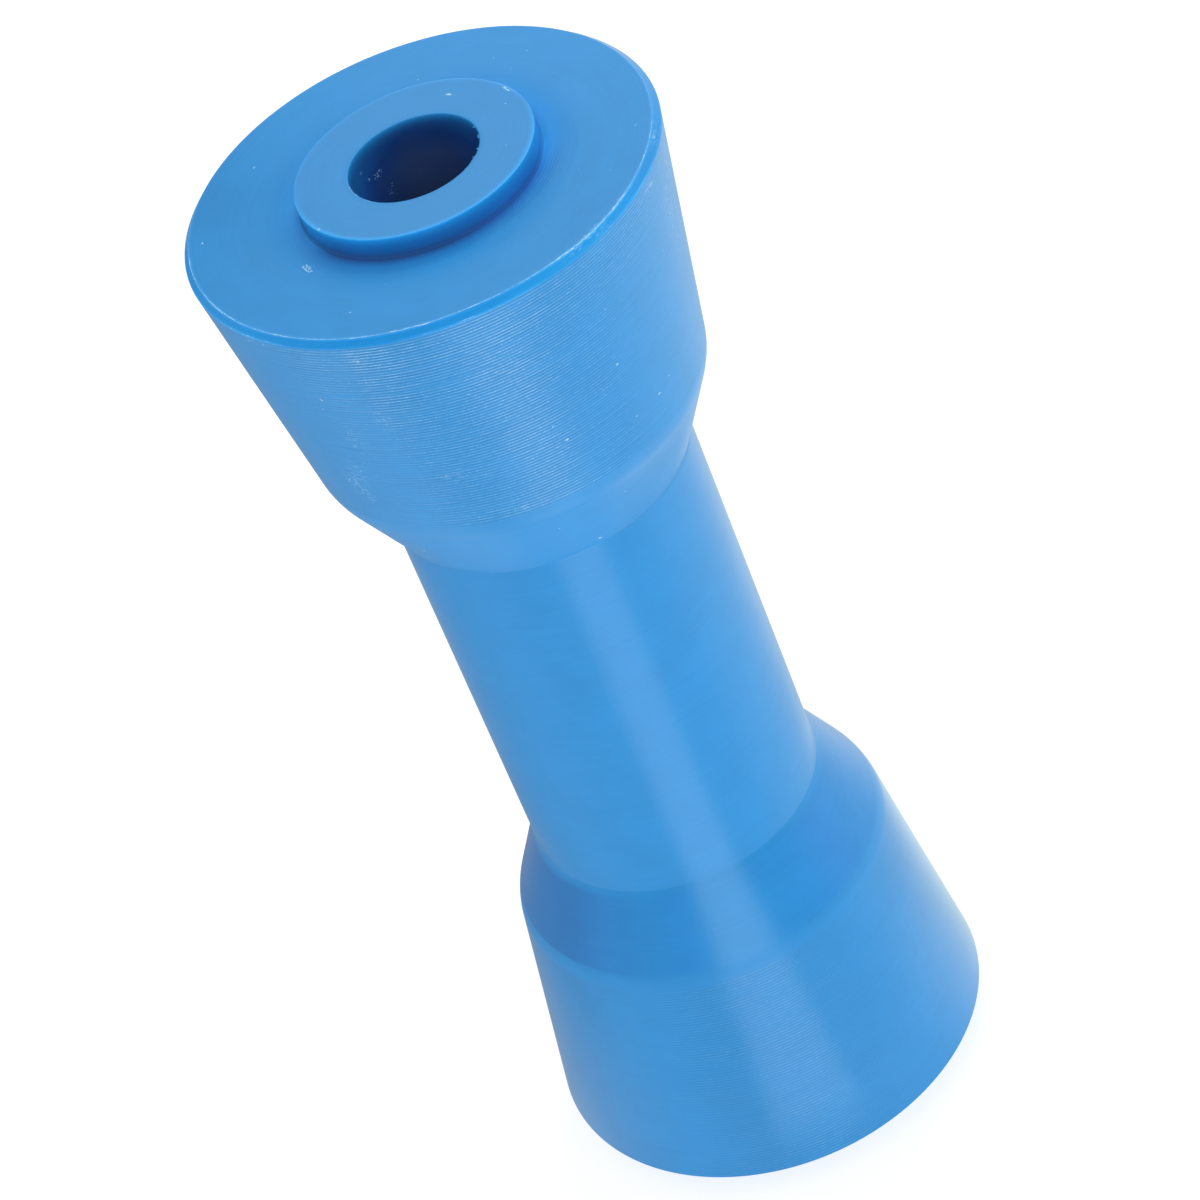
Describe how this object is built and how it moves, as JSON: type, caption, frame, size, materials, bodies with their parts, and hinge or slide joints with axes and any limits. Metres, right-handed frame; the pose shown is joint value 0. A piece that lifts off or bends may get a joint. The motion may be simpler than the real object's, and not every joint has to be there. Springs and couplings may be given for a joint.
{
  "type": "boat trailer roller",
  "caption": "Solid plastic keel roller with flared ends, a narrower straight waist, low end bosses and a plain through bore for a spindle.",
  "frame": {"origin": "on the bore axis, midway between the two hub faces", "axes": "+Z along the bore axis, towards the hub face that is up when the roller stands on its end"},
  "size_m": [0.077, 0.077, 0.2],
  "materials": {
    "roller": "satin, as turned"
  },
  "bodies": {
    "root": {"roller": "roller"}
  },
  "joints": []
}
